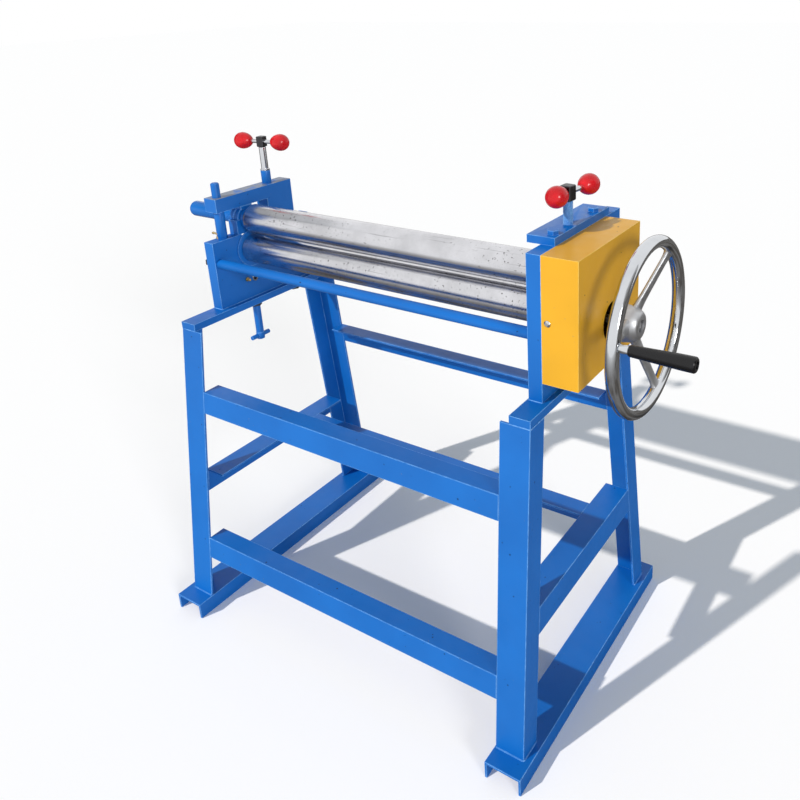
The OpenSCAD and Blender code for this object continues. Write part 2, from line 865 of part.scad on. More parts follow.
module lower_roll() {
    placed(STEEL) translate([0, roll_y, lower_z]) difference() {
        turned([[0, left_out + roll_edge], [journal_d / 2 - roll_edge, left_out + roll_edge],
            [journal_d / 2, left_out + 2 * roll_edge], [journal_d / 2, roll_left],
            [roll_d / 2 - roll_edge, roll_left], [roll_d / 2, roll_left + roll_edge],
            [roll_d / 2, roll_right - roll_edge], [roll_d / 2 - roll_edge, roll_right],
            [journal_d / 2, roll_right], [journal_d / 2, right_out],
            [gear_seat_d / 2, right_out], [gear_seat_d / 2, gear_x + gear_width],
            [wheel_seat_d / 2, gear_x + gear_width + shaft_step_gap],
            [wheel_seat_d / 2, shaft_end], [0, shaft_end]]);
        rod_x(shaft_end - end_shank, shaft_end + cut, end_shank_d + 2 * thread_gap);
    }
}

// The top roll is one piece with its collar at the left and its long tail.
module top_roll() {
    placed(STEEL) translate([0, roll_y, top_z]) turned(concat([[0, tail_left]],
        arc([tail_d / 2 - tail_d / 4, tail_left + tail_d / 4], tail_d / 4, -90, 0, 5),
        [[tail_d / 2, left_out - roll_round], [journal_d / 2, left_out - roll_round],
        [journal_d / 2, collar_left], [collar_d / 2 - roll_edge, collar_left],
        [collar_d / 2, collar_left + roll_edge], [collar_d / 2, top_roll_left]],
        arc([roll_d / 2 - roll_round, top_roll_left + roll_round], roll_round, -90, 0, 4),
        [[roll_d / 2, roll_right - roll_edge], [roll_d / 2 - roll_edge, roll_right],
        [journal_d / 2, roll_right], [journal_d / 2, right_out], [gear_seat_d / 2, right_out],
        [gear_seat_d / 2, gear_x + gear_width + roll_round],
        [0, gear_x + gear_width + roll_round]]));
}

function wheel_profile() = [for (k = [0:rim_points - 1])
    [rim_r + rim_radial / 2 * cos(k * 360 / rim_points),
    rim_x + rim_axial / 2 * sin(k * 360 / rim_points)]];

// A flat oval spoke that rises from the hub to the rim.
module spoke() {
    hull() {
        translate([spoke_hub_x, spoke_hub_r, 0]) rotate([90, 0, 0])
            scale([spoke_thick / spoke_wide, 1, 1]) cylinder(h = spoke_disc, d = spoke_wide, $fn = 24);
        translate([rim_x, rim_r, 0]) rotate([90, 0, 0])
            scale([spoke_thick / spoke_wide, 1, 1]) cylinder(h = spoke_disc, d = spoke_narrow, $fn = 24);
    }
}

module hand_wheel() {
    placed(CHROME) difference() {
        translate([0, roll_y, lower_z]) {
            turned(wheel_profile());
            difference() {
                union() {
                    turned([[0, hub_back], [hub_back_d / 2 - grip_round, hub_back],
                        [hub_back_d / 2, hub_back + grip_round],
                        [hub_back_d / 2, (hub_back + spoke_hub_x) / 2],
                        [hub_front_d / 2, hub_front - grip_round],
                        [hub_front_d / 2 - grip_round, hub_front], [0, hub_front]]);
                    for (a = [0, 120, 240]) rotate([spoke_angle + a, 0, 0]) spoke();
                }
                rod_x(hub_back - cut, hub_front + cut, wheel_seat_d + 2 * thread_gap);
                rod_x(shaft_end, hub_front + cut, recess_d);
            }
        }
        translate([0, grip_y, grip_z]) rod_x(rim_x, rim_x + rim_axial, spindle_d + 2 * thread_gap);
    }
}

module wheel_screw() {
    placed(STEEL) translate([0, roll_y, lower_z]) difference() {
        union() {
            rod_x(shaft_end - end_shank + cut, shaft_end + cut, end_shank_d);
            rod_x(shaft_end, shaft_end + end_head, end_head_d);
        }
        block([shaft_end + end_head / 2, -end_slot / 2, -end_head_d],
            [shaft_end + end_head + cut, end_slot / 2, end_head_d]);
    }
}

module grip_spindle() {
    placed(CHROME) translate([0, grip_y, grip_z]) turned([[0, rim_x + cut], [spindle_d / 2, rim_x + cut],
        [spindle_d / 2, rim_x + rim_axial / 2], [spindle_boss_d / 2, rim_x + rim_axial / 2],
        [spindle_boss_d / 2, grip_start - slide_gap], [spindle_d / 2, grip_start - slide_gap],
        [spindle_d / 2, grip_end - grip_recess + slide_gap],
        [spindle_head_d / 2, grip_end - grip_recess + slide_gap],
        [spindle_head_d / 2, grip_end - grip_recess + slide_gap + spindle_head],
        [0, grip_end - grip_recess + slide_gap + spindle_head]]);
}

module grip() {
    placed(BLACK) translate([0, grip_y, grip_z]) turned([[spindle_d / 2 + run_gap, grip_start],
        [grip_base_d / 2 - grip_round, grip_start], [grip_base_d / 2, grip_start + grip_round],
        [grip_end_d / 2, grip_end - 2 * grip_round], [grip_end_d / 2 - grip_round, grip_end],
        [spindle_head_d / 2 + slide_gap, grip_end],
        [spindle_head_d / 2 + slide_gap, grip_end - grip_recess],
        [spindle_d / 2 + run_gap, grip_end - grip_recess]]);
}

module rear_block(x0, x1, flange_x) {
    difference() {
        union() {
            block([x0, -rear_block_half_y, -rear_block_half_z],
                [x1, rear_block_half_y, rear_block_half_z]);
            block([flange_x, -rear_block_half_y - flange, -rear_block_half_z],
                [flange_x + flange, rear_block_half_y + flange, rear_block_half_z]);
        }
        rod_x(x0 - flange_edge, x1 + flange_edge, rear_journal_d + 2 * run_gap);
    }
}

module rear_bearing_blocks() {
    placed(BRONZE) translate([0, rear_roll_y, rear_roll_z]) {
        rear_block(left_out + slide_gap, left_in + flange, left_in + slide_gap);
        rear_block(right_in - flange, right_out - slide_gap, right_in - slide_gap - flange);
    }
}

module rear_roll() {
    placed(STEEL) translate([0, rear_roll_y, rear_roll_z]) turned([
        [0, left_out + roll_edge], [rear_journal_d / 2, left_out + roll_edge],
        [rear_journal_d / 2, roll_left], [roll_d / 2 - roll_edge, roll_left],
        [roll_d / 2, roll_left + roll_edge], [roll_d / 2, roll_right - roll_edge],
        [roll_d / 2 - roll_edge, roll_right], [rear_journal_d / 2, roll_right],
        [rear_journal_d / 2, right_out - roll_edge], [0, right_out - roll_edge]]);
}

module rear_screw() {
    translate([0, rear_roll_y, 0]) {
        hexagon_z(leg_top - rear_head_gap - rear_head, leg_top - rear_head_gap, rear_head_d);
        rod_z(leg_top - rear_head_gap - rear_head / 2,
            rear_roll_z - rear_block_half_z - seat_gap, rear_screw_d);
    }
}

module left_rear_screw() {
    placed(DARK) translate([left_plate_x, 0, 0]) rear_screw();
}

module right_rear_screw() {
    placed(DARK) translate([right_plate_x, 0, 0]) rear_screw();
}

// Turning foot under an adjusting screw; it slides up and down with the screw.
module screw_foot() {
    spun([[0, 0], [foot_pad_d / 2, 0], [foot_pad_d / 2, foot_pad - seat_gap],
        [foot_neck_d / 2 + run_gap, foot_pad - seat_gap], [foot_neck_d / 2 + run_gap, foot_pad / 4],
        [0, foot_pad / 4]]);
}

top_foot_z = block_top - lip - pad_room + seat_gap;
under_foot_z = low_block_low + lip + pad_room - seat_gap;

module top_screw_foot() {
    placed(STEEL) translate([top_screw_x, roll_y, top_foot_z]) screw_foot();
}

module under_screw_foot() {
    placed(STEEL) translate([left_plate_x, roll_y, under_foot_z]) mirror([0, 0, 1]) screw_foot();
}

// The threaded stem with its square hub, cross bored for the bar.
module top_screw() {
    placed(BLUE) translate([top_screw_x, roll_y, 0]) difference() {
        union() {
            rod_z(top_foot_z + foot_pad / 4 + seat_gap, block_top + neck_gap, foot_neck_d);
            rod_z(block_top + neck_gap / 2, right_bar_z - hub_height / 2 + cut, screw_d);
            translate([0, 0, right_bar_z]) rotate(right_bar_turn)
                cube([hub_side, hub_side, hub_height], center = true);
        }
        translate([0, 0, right_bar_z]) rotate(right_bar_turn)
            rod_x(-hub_side, hub_side, bar_d + 2 * thread_gap);
    }
}

module handle_bar(slid) {
    rod_x(slid - knob_pitch / 2, slid + knob_pitch / 2, bar_d);
}

// Egg knob on the end of a bar, pushed over it.
module knob() {
    difference() {
        turned(concat([for (k = [0:knob_steps]) [knob_d / 2 * sin(180 * k / knob_steps)
            * (1 + 0.06 * cos(180 * k / knob_steps)), -knob_length / 2 * cos(180 * k / knob_steps)]]));
        rod_x(-knob_length, 0, bar_d + 2 * thread_gap);
    }
}

module knob_pair(slid) {
    translate([slid + knob_pitch / 2, 0, 0]) knob();
    translate([slid - knob_pitch / 2, 0, 0]) mirror([1, 0, 0]) knob();
}

module top_screw_bar() {
    placed(CHROME) translate([top_screw_x, roll_y, right_bar_z]) rotate(right_bar_turn)
        handle_bar(right_bar_slide);
}

module top_screw_knobs() {
    placed(RED) translate([top_screw_x, roll_y, right_bar_z]) rotate(right_bar_turn)
        knob_pair(right_bar_slide);
}

module under_screw() {
    placed(BLUE) translate([left_plate_x, roll_y, 0]) difference() {
        union() {
            rod_z(low_block_low - neck_gap, under_foot_z - foot_pad / 4 - seat_gap, foot_neck_d);
            rod_z(under_screw_low, low_block_low - neck_gap / 2, screw_d);
            rod_z(under_screw_low, under_screw_low + under_head, under_head_d);
        }
        translate([0, 0, under_bar_z]) rotate([90, 0, 0])
            cylinder(h = 2 * under_head_d, d = under_bar_d + 2 * thread_gap, center = true);
    }
}

module under_screw_bar() {
    placed(BLUE) translate([left_plate_x, roll_y, under_bar_z]) rotate([90, 0, 0])
        cylinder(h = under_bar_length, d = under_bar_d, center = true);
}

// The arm bridges the journal and reaches down to the plate behind it.
module release_arm() {
    placed(BLUE) difference() {
        translate([arm_left, 0, 0]) rotate([90, 0, 90]) linear_extrude(arm_width)
            polygon([[arm_front, arm_under], [arm_foot_front, arm_under],
                [arm_foot_front, left_plate_top + slide_gap], [arm_rear, left_plate_top + slide_gap],
                [arm_rear, arm_top], [arm_front, arm_top]]);
        translate([post_x, post_y, 0]) rod_z(arm_under - cut, arm_top + cut, post_d + 2 * run_gap);
        translate([arm_x, clamp_y, 0]) rod_z(left_plate_top, arm_top + cut, clamp_d + 2 * run_gap);
    }
}

module pressure_pad() {
    placed(BRONZE) block([left_out, roll_y - pad_half, top_z + journal_d / 2 + slide_gap],
        [left_in, roll_y + pad_half, arm_under]);
}

module clamp_sleeve() {
    placed(BLUE) translate([arm_x, clamp_y, 0]) difference() {
        rod_z(arm_top, sleeve_top, sleeve_d);
        rod_z(arm_top - cut, sleeve_top + cut, clamp_d + 2 * run_gap);
    }
}

module clamp_screw() {
    placed(CHROME) translate([arm_x, clamp_y, 0]) difference() {
        union() {
            rod_z(nut_top - nut_high + seat_gap, left_plate_top + ledge, clamp_end_d);
            rod_z(left_plate_top + slide_gap, left_bar_z - hub_height / 2 + cut, clamp_d);
            rod_z(sleeve_top + seat_gap, sleeve_top + clamp_collar, clamp_collar_d);
            translate([0, 0, left_bar_z]) rotate(left_bar_turn)
                cube([hub_side, hub_side, hub_height], center = true);
        }
        translate([0, 0, left_bar_z]) rotate(left_bar_turn)
            rod_x(-hub_side, hub_side, bar_d + 2 * thread_gap);
    }
}

module clamp_bar() {
    placed(CHROME) translate([arm_x, clamp_y, left_bar_z]) rotate(left_bar_turn) handle_bar(0);
}

module clamp_knobs() {
    placed(RED) translate([arm_x, clamp_y, left_bar_z]) rotate(left_bar_turn) knob_pair(0);
}

// Square nut in the plate's slot; the slot is open at its end, so the nut can swing out.
module clamp_nut() {
    placed(DARK) translate([arm_x, clamp_y, nut_top - nut_high]) difference() {
        block([-nut_half, -nut_half, 0], [nut_half, nut_half, nut_high]);
        rod_z(-cut, nut_high + cut, clamp_end_d + 2 * thread_gap);
    }
}

left_foot();
right_foot();
front_left_leg();
front_right_leg();
rear_left_leg();
rear_right_leg();
left_end_bar();
right_end_bar();
left_side_rail();
right_side_rail();
upper_front_rail();
lower_front_rail();
cross_rail();
upper_rear_rail();
left_end_plate();
right_end_plate();
cap_plate();
cap_bolts();
tie_rod();
tie_rod_nuts();
arm_post();
saddle_bearing();
lower_bush();
gear_cover();
cover_lugs();
cover_screws();
under_lock_nut();
plate_bolts();
grease_nipple();
lower_bearing_block();
lower_roll();
lower_gear();
hand_wheel();
wheel_screw();
grip_spindle();
grip();
top_bearing_block();
top_roll();
top_gear();
rear_bearing_blocks();
rear_roll();
left_rear_screw();
right_rear_screw();
top_screw_foot();
top_screw();
top_screw_bar();
top_screw_knobs();
under_screw_foot();
under_screw();
under_screw_bar();
release_arm();
pressure_pad();
clamp_sleeve();
clamp_screw();
clamp_bar();
clamp_knobs();
clamp_nut();
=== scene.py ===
"""Looks of the hand-cranked slip roll: materials, dressed pieces, light and camera.

Every length is in metres, in the row frame: +X along the rolls towards the crank, +Y to the
rear, +Z up, with the floor at z = 0. The CAD nodes keep their places. Pieces that need a finer
shape than the CAD gives are built here in mesh code and placed by the boxes of the nodes that
they replace or sit on.
"""

import math
import random

import bmesh
import bpy
from mathutils import Matrix, Vector


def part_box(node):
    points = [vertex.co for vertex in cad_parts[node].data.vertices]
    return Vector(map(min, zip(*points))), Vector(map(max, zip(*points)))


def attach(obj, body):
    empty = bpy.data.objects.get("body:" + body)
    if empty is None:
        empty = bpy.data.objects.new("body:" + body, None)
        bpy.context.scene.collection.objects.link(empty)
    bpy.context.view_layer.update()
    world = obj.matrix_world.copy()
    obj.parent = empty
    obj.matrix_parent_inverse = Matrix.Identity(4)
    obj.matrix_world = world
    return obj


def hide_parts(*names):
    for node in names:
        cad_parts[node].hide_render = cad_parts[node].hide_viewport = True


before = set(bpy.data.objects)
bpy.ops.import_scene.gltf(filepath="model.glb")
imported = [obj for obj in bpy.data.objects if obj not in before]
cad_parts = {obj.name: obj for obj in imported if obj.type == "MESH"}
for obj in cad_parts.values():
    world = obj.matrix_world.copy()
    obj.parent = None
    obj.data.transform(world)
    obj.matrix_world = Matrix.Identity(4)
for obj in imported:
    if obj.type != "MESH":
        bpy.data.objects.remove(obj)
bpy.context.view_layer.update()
scene = bpy.context.scene
MM = 0.001
TAU = 2 * math.pi
ALONG_ROLLS = Vector((1, 0, 0))
UP = Vector((0, 0, 1))

# Linear base colours
WHITE = (1.0, 1.0, 1.0)
BLUE = (0.004, 0.136, 0.495)
BLUE_SHADE = (0.003, 0.114, 0.43)
# The _EDGE colours go on the outer edges: partly worn paint, partly a painted highlight
BLUE_EDGE = (0.24, 0.52, 0.90)
YELLOW = (0.71, 0.366, 0.015)
YELLOW_EDGE = (0.90, 0.66, 0.16)
PRIMER = (0.17, 0.18, 0.19)
ARM_TOP_GREY = (0.21, 0.23, 0.25)
STEEL = (0.60, 0.60, 0.61)
ROLL_STEEL = (0.74, 0.74, 0.77)
ROLL_SCRATCH = (0.24, 0.24, 0.25)
ROLL_SPECK = (0.05, 0.045, 0.04)
CHROME = (0.68, 0.70, 0.73)
CAST = (0.60, 0.61, 0.63)
DARK_STEEL = (0.075, 0.075, 0.08)
BROWNED_STEEL = (0.07, 0.07, 0.075)
BRONZE = (0.50, 0.33, 0.13)
BRASS = (0.66, 0.47, 0.20)
RED = (0.60, 0.006, 0.012)
BLACK = (0.004, 0.004, 0.005)

ENAMEL_ROUGHNESS = 0.38
ROLL_ROUGHNESS = 0.22

# A Mix node's colour sockets, which share their names with its number sockets
MIX_FIRST, MIX_SECOND, MIX_RESULT = 6, 7, 2


# Materials
def scaled(colour, factor, lift=0.0):
    """A colour made darker or brighter, with no channel above 1."""
    return tuple(min(1.0, factor * channel + lift) for channel in colour)


class Look:
    """A principled material and the few node patterns that the finishes share.

    Scales of noise are per metre, and its detail and rough are those of Blender's noise texture.
    """

    def __init__(self, name, metallic, roughness, **sockets):
        self.material = bpy.data.materials.new(name)
        self.material.use_nodes = True
        self.nodes = self.material.node_tree.nodes
        self.shader = self.nodes["Principled BSDF"]
        self.shader.inputs["Metallic"].default_value = metallic
        self.shader.inputs["Roughness"].default_value = roughness
        for socket, value in sockets.items():
            self.feed(self.shader.inputs[socket.replace("_", " ")], value)
        self.place = self.node("ShaderNodeTexCoord").outputs["Object"]

    def node(self, kind, **settings):
        made = self.nodes.new(kind)
        for key, value in settings.items():
            setattr(made, key, value)
        return made

    def feed(self, socket, value):
        """Puts a number, a colour or another node's output into a socket."""
        if isinstance(value, float):
            socket.default_value = value
        elif isinstance(value, tuple):
            socket.default_value = (*value, 1.0)
        else:
            self.material.node_tree.links.new(value, socket)

    def set(self, socket, output):
        """Drives one of the shader's sockets."""
        self.feed(self.shader.inputs[socket], output)

    def driving(self, socket):
        """The output that drives one of the shader's sockets."""
        return self.shader.inputs[socket].links[0].from_socket

    def along(self, axis):
        """How far a point lies along one axis of the row frame."""
        split = self.node("ShaderNodeSeparateXYZ")
        self.feed(split.inputs["Vector"], self.place)
        return split.outputs[axis]

    def stretched(self, x, y, z):
        """Object coordinates times a scale along each axis."""
        mapping = self.node("ShaderNodeMapping")
        mapping.inputs["Scale"].default_value = (x, y, z)
        self.feed(mapping.inputs["Vector"], self.place)
        return mapping.outputs["Vector"]

    def noise(self, scale, detail=3.0, rough=0.55, vector=None):
        made = self.node("ShaderNodeTexNoise")
        self.feed(made.inputs["Scale"], scale)
        self.feed(made.inputs["Detail"], detail)
        self.feed(made.inputs["Roughness"], rough)
        self.feed(made.inputs["Vector"], vector or self.place)
        return made.outputs["Fac"]

    def ramp(self, value, low, high, span=(0.0, 1.0)):
        """value between low and high, spread over span and held at its ends."""
        made = self.node("ShaderNodeMapRange")
        self.feed(made.inputs["Value"], value)
        for socket, number in zip(("From Min", "From Max", "To Min", "To Max"), (low, high, *span)):
            self.feed(made.inputs[socket], number)
        return made.outputs["Result"]

    def patches(self, scale, low, high, span=(0.0, 1.0), **pattern):
        """Noise, spread over span from where it is low to where it is high."""
        return self.ramp(self.noise(scale, **pattern), low, high, span)

    def calculate(self, operation, first, second):
        """A Math node's result for two numbers or outputs."""
        made = self.node("ShaderNodeMath", operation=operation)
        self.feed(made.inputs[0], first)
        self.feed(made.inputs[1], second)
        return made.outputs["Value"]

    def times(self, first, second):
        return self.calculate("MULTIPLY", first, second)

    def mix(self, share, first, second):
        """From the first colour to the second by share; each is a colour or another mix."""
        made = self.node("ShaderNodeMix", data_type="RGBA")
        self.feed(made.inputs["Factor"], share)
        self.feed(made.inputs[MIX_FIRST], first)
        self.feed(made.inputs[MIX_SECOND], second)
        return made.outputs[MIX_RESULT]

    def edges(self, radius, starts=0.004, full=0.05):
        """0 on faces and 1 on outer edges, by how far the rounded normal turns from the flat one."""
        rounded_normal = self.node("ShaderNodeBevel", samples=4)
        self.feed(rounded_normal.inputs["Radius"], radius)
        flat_normal = self.node("ShaderNodeNewGeometry")
        dot = self.node("ShaderNodeVectorMath", operation="DOT_PRODUCT")
        self.feed(dot.inputs[0], rounded_normal.outputs["Normal"])
        self.feed(dot.inputs[1], flat_normal.outputs["Normal"])
        return self.ramp(dot.outputs["Value"], 1.0 - starts, 1.0 - full)

    def bump(self, height, strength, distance):
        made = self.node("ShaderNodeBump")
        self.feed(made.inputs["Strength"], strength)
        self.feed(made.inputs["Distance"], distance)
        self.feed(made.inputs["Height"], height)
        self.set("Normal", made.outputs["Normal"])


def paint(name, base, shade, edge, roughness):
    """Brushed-on gloss enamel: uneven film, lighter outer edges that are partly worn paint and partly a
    painted highlight, a few chips down to primer.
    """
    look = Look(name, 0.0, roughness, Specular_IOR_Level=0.38)
    uneven = look.patches(5.0, 0.35, 0.7)
    # The outer edges go lighter: partly worn paint, partly a painted highlight along them
    lightened_edges = look.times(look.edges(2.2 * MM), look.patches(60.0, 0.36, 0.6, span=(0.4, 0.95), detail=4.0))
    chip_shapes = look.patches(170.0, 0.735, 0.765, detail=2.0)
    chipped_areas = look.patches(9.0, 0.48, 0.6, detail=1.0)
    pits = look.patches(95.0, 0.775, 0.80, span=(0.0, 0.85), detail=1.0)
    film = look.mix(lightened_edges, look.mix(uneven, base, shade), edge)
    film = look.mix(look.times(chip_shapes, chipped_areas), film, PRIMER)
    look.set("Base Color", look.mix(pits, film, scaled(shade, 0.12)))
    look.set("Roughness", look.patches(38.0, 0.3, 0.75, span=(roughness - 0.04, roughness + 0.08)))
    look.bump(look.noise(60.0, detail=1.0), strength=0.016, distance=0.8 * MM)
    return look


def grey_topped_paint(name, top_z):
    """The blue enamel, turned grey in patches on the faces above top_z."""
    look = paint(name, BLUE, BLUE_SHADE, BLUE_EDGE, ENAMEL_ROUGHNESS)
    above = look.ramp(look.along("Z"), top_z, top_z + 0.2 * MM)
    grey_share = look.times(above, look.patches(26.0, 0.36, 0.5, detail=4.0))
    look.set("Base Color", look.mix(look.times(grey_share, 0.85), look.driving("Base Color"), ARM_TOP_GREY))
    return look


def ground_roll(name, base, roughness):
    """Ground steel with fine rings round the roll, marks along it and rust specks."""
    look = Look(name, 1.0, roughness)
    rings = look.noise(1.0, rough=0.6, vector=look.stretched(900.0, 14.0, 14.0))
    clouds = look.patches(11.0, 0.34, 0.68, detail=5.0, rough=0.62)
    lengthwise = look.stretched(7.0, 260.0, 260.0)
    scratches = look.patches(1.0, 0.66, 0.74, detail=2.0, rough=0.5, vector=lengthwise)
    speck_shapes = look.patches(150.0, 0.645, 0.685, detail=2.0)
    specked_areas = look.patches(6.0, 0.42, 0.58, detail=2.0)
    tone = look.mix(clouds, base, scaled(base, 0.80))
    tone = look.mix(look.times(scratches, 0.45), tone, ROLL_SCRATCH)
    specks = look.times(look.times(speck_shapes, specked_areas), 0.9)
    look.set("Base Color", look.mix(specks, tone, ROLL_SPECK))
    look.set("Roughness", look.ramp(rings, 0.3, 0.72, (roughness - 0.006, roughness + 0.008)))
    look.bump(look.noise(300.0, detail=2.0), strength=0.015, distance=0.2 * MM)
    return look


def roll_with_painted_end(name, base, roughness, edge_x):
    """Ground steel to the right of edge_x, and the frame's paint to the left of it."""
    look = ground_roll(name, base, roughness)
    painted = look.calculate("LESS_THAN", look.along("X"), edge_x)
    look.set("Base Color", look.mix(painted, look.driving("Base Color"), BLUE))
    look.set("Metallic", look.calculate("SUBTRACT", 1.0, painted))
    return look


def turned_metal(name, base, roughness, dirt):
    """Machined metal with tool rings along X, a smudged finish and grime in patches."""
    look = Look(name, 1.0, roughness)
    grime = look.patches(46.0, 0.5, 0.72, span=(0.0, dirt), detail=4.0)
    lightened_edges = look.mix(look.edges(0.9 * MM), base, scaled(base, 1.25))
    look.set("Base Color", look.mix(grime, lightened_edges, scaled(base, 0.35)))
    rings = look.noise(1.0, detail=2.0, rough=0.5, vector=look.stretched(660.0, 55.0, 55.0))
    look.set("Roughness", look.ramp(rings, 0.3, 0.7, (roughness - 0.05, roughness + 0.12)))
    look.bump(rings, strength=0.10, distance=0.3 * MM)
    return look


def polished(name, base, roughness):
    """Polished chrome: faint waves from buffing and soft finger smudges."""
    look = Look(name, 1.0, roughness)
    smudges = look.patches(24.0, 0.45, 0.72, detail=4.0)
    look.set("Base Color", look.mix(look.times(smudges, 0.6), base, scaled(base, 0.86)))
    look.set("Roughness", look.patches(70.0, 0.4, 0.75, span=(roughness, roughness + 0.10)))
    look.bump(look.noise(42.0, detail=1.0), strength=0.035, distance=1.0 * MM)
    return look


def cast_metal(name, base, roughness):
    """Tumbled casting: a fine pebbled skin in uneven tones."""
    look = Look(name, 1.0, roughness)
    uneven = look.patches(18.0, 0.35, 0.7, detail=4.0)
    look.set("Base Color", look.mix(uneven, base, scaled(base, 0.78)))
    look.set("Roughness", look.patches(90.0, 0.3, 0.7, span=(roughness - 0.06, roughness + 0.12)))
    look.bump(look.noise(420.0), strength=0.14, distance=0.5 * MM)
    return look


def moulded(name, base, roughness, coat):
    """Moulded plastic: a faint flow pattern and fine handling marks."""
    look = Look(name, 0.0, roughness, Specular_IOR_Level=0.35, Coat_Weight=coat, Coat_Roughness=0.06)
    flow = look.patches(30.0, 0.4, 0.7)
    lengthwise = look.stretched(60.0, 420.0, 420.0)
    marks = look.patches(1.0, 0.68, 0.76, span=(0.0, 0.25), detail=2.0, rough=0.5, vector=lengthwise)
    tone = look.mix(flow, base, scaled(base, 0.72))
    look.set("Base Color", look.mix(marks, tone, scaled(base, 1.5, lift=0.02)))
    look.set("Roughness", look.patches(120.0, 0.35, 0.7, span=(roughness, roughness + 0.1), detail=2.0))
    look.bump(look.noise(260.0, detail=2.0), strength=0.05, distance=0.4 * MM)
    return look


# The arm's top is grey above this height, and the top roll painted to the left of this place on its collar
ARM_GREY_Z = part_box("release_arm")[1].z - 1 * MM
ROLL_PAINT_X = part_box("left_end_plate")[1].x + 20.5 * MM

LOOKS = {
    "blue": paint("blue_enamel", BLUE, BLUE_SHADE, BLUE_EDGE, ENAMEL_ROUGHNESS),
    "yellow": paint("yellow_enamel", YELLOW, scaled(YELLOW, 0.9), YELLOW_EDGE, roughness=0.34),
    "arm": grey_topped_paint("blue_enamel_grey_top", ARM_GREY_Z),
    "roll": ground_roll("ground_steel", ROLL_STEEL, ROLL_ROUGHNESS),
    "top_roll": roll_with_painted_end("ground_steel_painted_end", ROLL_STEEL, ROLL_ROUGHNESS, ROLL_PAINT_X),
    "steel": turned_metal("machined_steel", STEEL, roughness=0.30, dirt=0.4),
    "chrome": polished("polished_chrome", CHROME, roughness=0.07),
    "cast": cast_metal("cast_aluminium", CAST, roughness=0.42),
    "dark": turned_metal("oxide_steel", DARK_STEEL, roughness=0.42, dirt=0.5),
    "bronze": turned_metal("bearing_bronze", BRONZE, roughness=0.34, dirt=0.5),
    "brass": turned_metal("brass", BRASS, roughness=0.26, dirt=0.6),
    "hub": turned_metal("browned_steel", BROWNED_STEEL, roughness=0.30, dirt=0.4),
    "red": moulded("red_plastic", RED, roughness=0.20, coat=0.12),
    "black": moulded("black_plastic", BLACK, roughness=0.24, coat=0.1),
}

# The CAD nodes that keep their own shape, by finish
FINISH = {
    "blue": [
        "left_foot", "right_foot", "front_left_leg", "front_right_leg", "rear_left_leg",
        "rear_right_leg", "left_end_bar", "right_end_bar", "left_side_rail", "right_side_rail",
        "upper_front_rail", "lower_front_rail", "cross_rail", "upper_rear_rail", "left_end_plate",
        "right_end_plate", "cap_plate", "cap_bolts", "tie_rod", "arm_post", "saddle_bearing",
        "clamp_sleeve", "under_screw_bar", "under_screw", "lower_bearing_block",
        "top_bearing_block", "pressure_pad",
    ],
    "arm": ["release_arm"],
    "yellow": ["gear_cover"],
    "roll": ["lower_roll", "rear_roll"],
    "top_roll": ["top_roll"],
    "steel": [
        "lower_gear", "top_gear", "wheel_screw", "top_screw_foot", "under_screw_foot", "clamp_nut",
    ],
    "chrome": ["grip_spindle", "top_screw_bar", "clamp_bar", "cover_screws"],
    "dark": [
        "tie_rod_nuts", "cover_lugs", "under_lock_nut", "plate_bolts", "left_rear_screw",
        "right_rear_screw",
    ],
    "bronze": ["lower_bush", "rear_bearing_blocks"],
}

# Rounding of the outer edges, in millimetres
EDGE_ROUND = {
    "blue": 1.3, "arm": 1.3, "yellow": 1.6, "roll": 0.5, "top_roll": 0.5,
    "steel": 0.4, "chrome": 0.5, "dark": 0.6, "bronze": 0.6,
}

# Finishes of the pieces that are mostly flat faces
FLAT_FINISHES = ("blue", "arm", "yellow")


def soften(node, width, flat):
    """Rounds a CAD node's outer edges with modifiers, which leave its own mesh as it is.

    Where flat is set, the slivers that share a plane are joined first, so that none shows as a line.
    """
    weld = node.modifiers.new("weld", "WELD")
    weld.merge_threshold = 0.01 * MM
    if flat:
        merge = node.modifiers.new("merge", "DECIMATE")
        merge.decimate_type = "DISSOLVE"
        merge.angle_limit = math.radians(0.3)
    bevel = node.modifiers.new("bevel", "BEVEL")
    bevel.width = width
    bevel.segments = 2
    bevel.limit_method = "ANGLE"
    bevel.angle_limit = math.radians(35)
    bevel.harden_normals = True


def dress_nodes():
    """Gives each CAD node its finish and softens its edges."""
    for finish, names in FINISH.items():
        for name in names:
            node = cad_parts[name]
            node.data.materials.clear()
            node.data.materials.append(LOOKS[finish].material)
            soften(node, EDGE_ROUND[finish] * MM, finish in FLAT_FINISHES)


# Mesh code that the pieces share
def add_piece(name, shape, finish, body, smooth, replaced=()):
    """Makes one object from (verts, faces), smooth except across edges sharper than smooth degrees."""
    verts, faces = shape
    mesh = bpy.data.meshes.new(name)
    bm = bmesh.new()
    made = [bm.verts.new(v) for v in verts]
    for face in faces:
        bm.faces.new([made[k] for k in face])
    bmesh.ops.recalc_face_normals(bm, faces=bm.faces)
    bm.to_mesh(mesh)
    bm.free()
    for polygon in mesh.polygons:
        polygon.use_smooth = True
    mesh.set_sharp_from_angle(angle=math.radians(smooth))
    mesh.materials.append(LOOKS[finish].material)
    piece = bpy.data.objects.new(name, mesh)
    scene.collection.objects.link(piece)
    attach(piece, body)
    if replaced:
        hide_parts(*replaced)


def middle(node):
    """The centre of a CAD node's box."""
    low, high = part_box(node)
    return (low + high) / 2


def corner(node, x_side, y_side):
    """The lower corner of a CAD node's box, on the sides that the signs name."""
    low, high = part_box(node)
    return Vector((high.x if x_side > 0 else low.x, high.y if y_side > 0 else low.y, low.z))


def between(first, second, t):
    return first + (second - first) * t


def in_metres(outline):
    """(along, radius) points from millimetres to metres."""
    return [(along * MM, radius * MM) for along, radius in outline]


